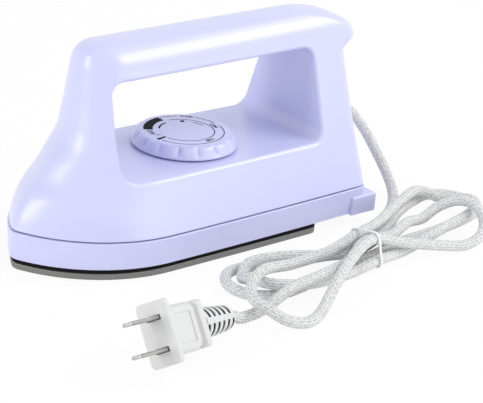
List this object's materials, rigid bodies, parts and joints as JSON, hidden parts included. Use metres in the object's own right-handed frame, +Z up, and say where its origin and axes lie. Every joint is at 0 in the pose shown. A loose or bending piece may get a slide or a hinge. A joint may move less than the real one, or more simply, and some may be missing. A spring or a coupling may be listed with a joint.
{
  "type": "mini craft iron",
  "caption": "Small dry iron for craft work: pointed soleplate, moulded body with a looped handle, temperature dial in the hand opening and a tied mains cord with a plug.",
  "frame": {"origin": "on the ironing surface, under the middle of the body's length and width, the cord left out", "axes": "+X towards the heel, where the cord leaves; -X towards the pointed nose; +Y to the side away from the tied cord; +Z up out of the sole, towards the handle"},
  "size_m": [0.2498, 0.1556, 0.0957],
  "materials": {
    "lilac_plastic": "pale lavender moulding, smooth with a soft gloss",
    "grey_sole_coating": "cast aluminium with a dark grey non-stick coat",
    "black_gasket": "black heat-proof rubber, dull",
    "grey_rubber": "grey rubber, dull",
    "plain_steel": "plain steel, satin",
    "plain_brass": "plain brass, satin",
    "nickel_blade": "nickel-plated, bright",
    "white_ceramic": "white steatite ceramic, opaque and matt",
    "element_sheath": "dull grey sheath",
    "brown_core": "brown silicone insulation",
    "blue_core": "blue silicone insulation",
    "glass_sleeve": "woven glass sleeve, undyed",
    "white_plastic": "white flexible moulding, satin",
    "white_braid": "white textile braid with grey flecks",
    "white_tie": "white wire tie, satin"
  },
  "bodies": {
    "iron": {"block_screw_live": "plain_brass", "block_screw_neutral": "plain_brass", "clamp_screw_left": "plain_steel", "clamp_screw_right": "plain_steel", "contact_spring": "plain_brass", "cord_boot": "white_plastic", "cord_clamp": "white_plastic", "cord_hank": "white_braid", "cord_lead": "white_braid", "cord_tail": "white_braid", "cord_tie": "white_tie", "core_live": "brown_core", "core_neutral": "blue_core", "element_pin_left": "nickel_blade", "element_pin_right": "nickel_blade", "heat_shield": "plain_steel", "heating_element": "element_sheath", "heel_pad_left": "grey_rubber", "heel_pad_right": "grey_rubber", "housing_screw_left": "plain_steel", "housing_screw_right": "plain_steel", "lower_skirt": "lilac_plastic", "plug_blade_far": "nickel_blade", "plug_blade_near": "nickel_blade", "plug_body": "white_plastic", "plug_boot": "white_plastic", "sole_gasket": "black_gasket", "sole_screw_1": "plain_steel", "sole_screw_2": "plain_steel", "sole_screw_3": "plain_steel", "sole_screw_4": "plain_steel", "soleplate": "grey_sole_coating", "terminal_block": "white_ceramic", "thermal_fuse": "glass_sleeve", "thermostat_bimetal": "plain_steel", "thermostat_bush": "plain_brass", "thermostat_foot": "white_ceramic", "thermostat_plate": "plain_steel", "upper_housing": "lilac_plastic", "wire_element": "brown_core", "wire_live": "brown_core", "wire_neutral": "blue_core", "wire_thermostat": "brown_core"},
    "dial": {"dial_knob": "lilac_plastic", "dial_shaft": "plain_steel", "dial_clip": "plain_steel"}
  },
  "joints": [
    {"name": "dial_turn", "type": "hinge", "parent": "iron", "child": "dial", "pos_m": [0.0017, 0, 0.041], "axis": [0, 0, 1], "range_deg": [-220, 0]}
  ]
}
